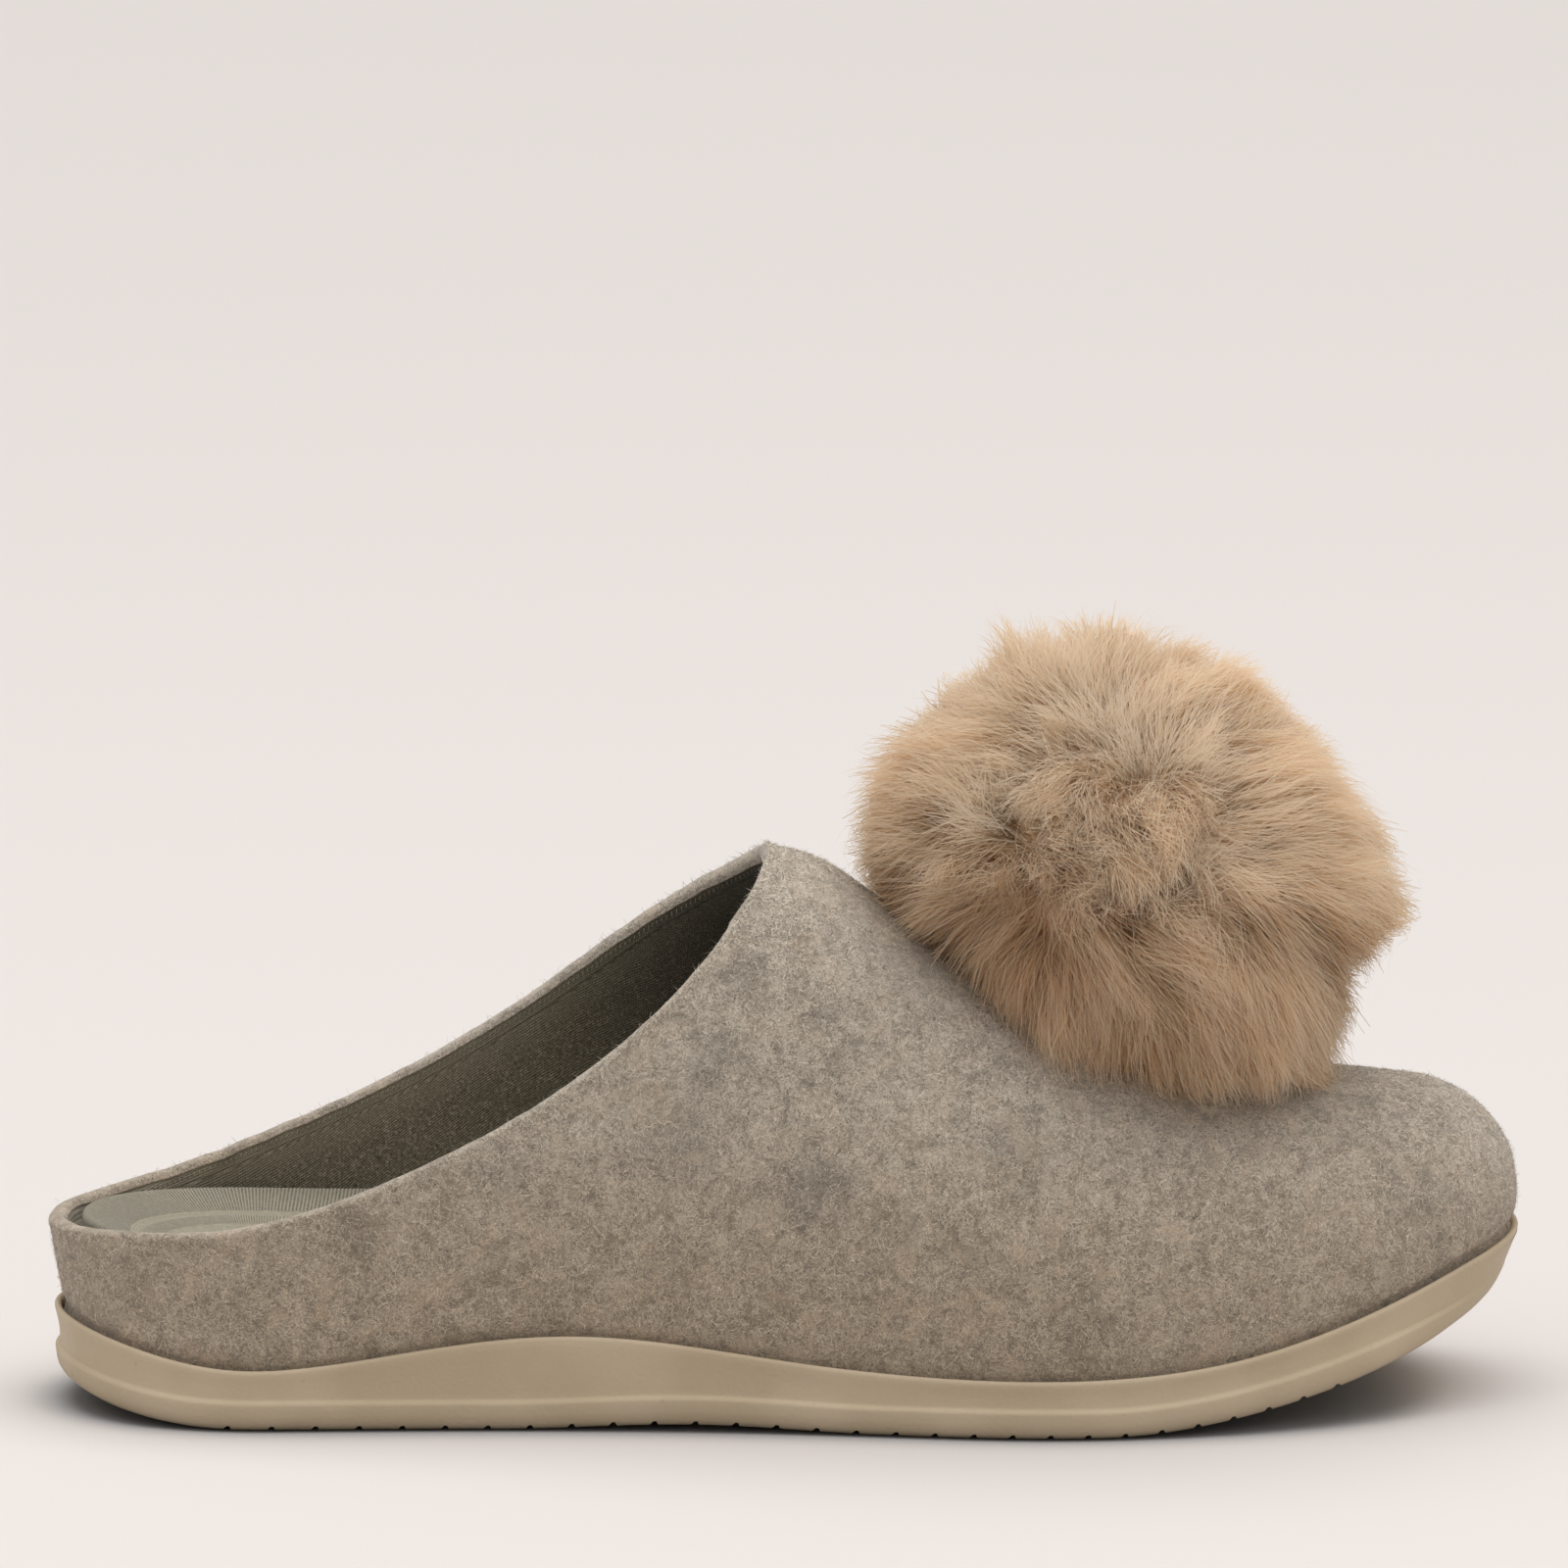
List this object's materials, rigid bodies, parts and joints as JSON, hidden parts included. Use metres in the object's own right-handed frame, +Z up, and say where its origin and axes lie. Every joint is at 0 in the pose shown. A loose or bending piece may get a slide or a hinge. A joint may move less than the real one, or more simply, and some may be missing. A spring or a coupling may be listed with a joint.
{
  "type": "felt slipper",
  "caption": "Backless felt slipper for the right foot: moulded cup sole, rounded felt upper with a low heel rim, cushioned footbed and a fur pompom on the vamp.",
  "frame": {"origin": "middle of the part's bounding box, on the floor that the sole stands on", "axes": "+X from the heel to the toe, +Y to the medial side, +Z up"},
  "size_m": [0.257, 0.0936, 0.1328],
  "materials": {
    "sole_foam": "satin",
    "felt": "matte",
    "footbed_cover": "matte",
    "fur": "matte"
  },
  "bodies": {
    "root": {"sole": "sole_foam", "upper": "felt", "footbed": "footbed_cover", "pompom": "fur"}
  },
  "joints": []
}
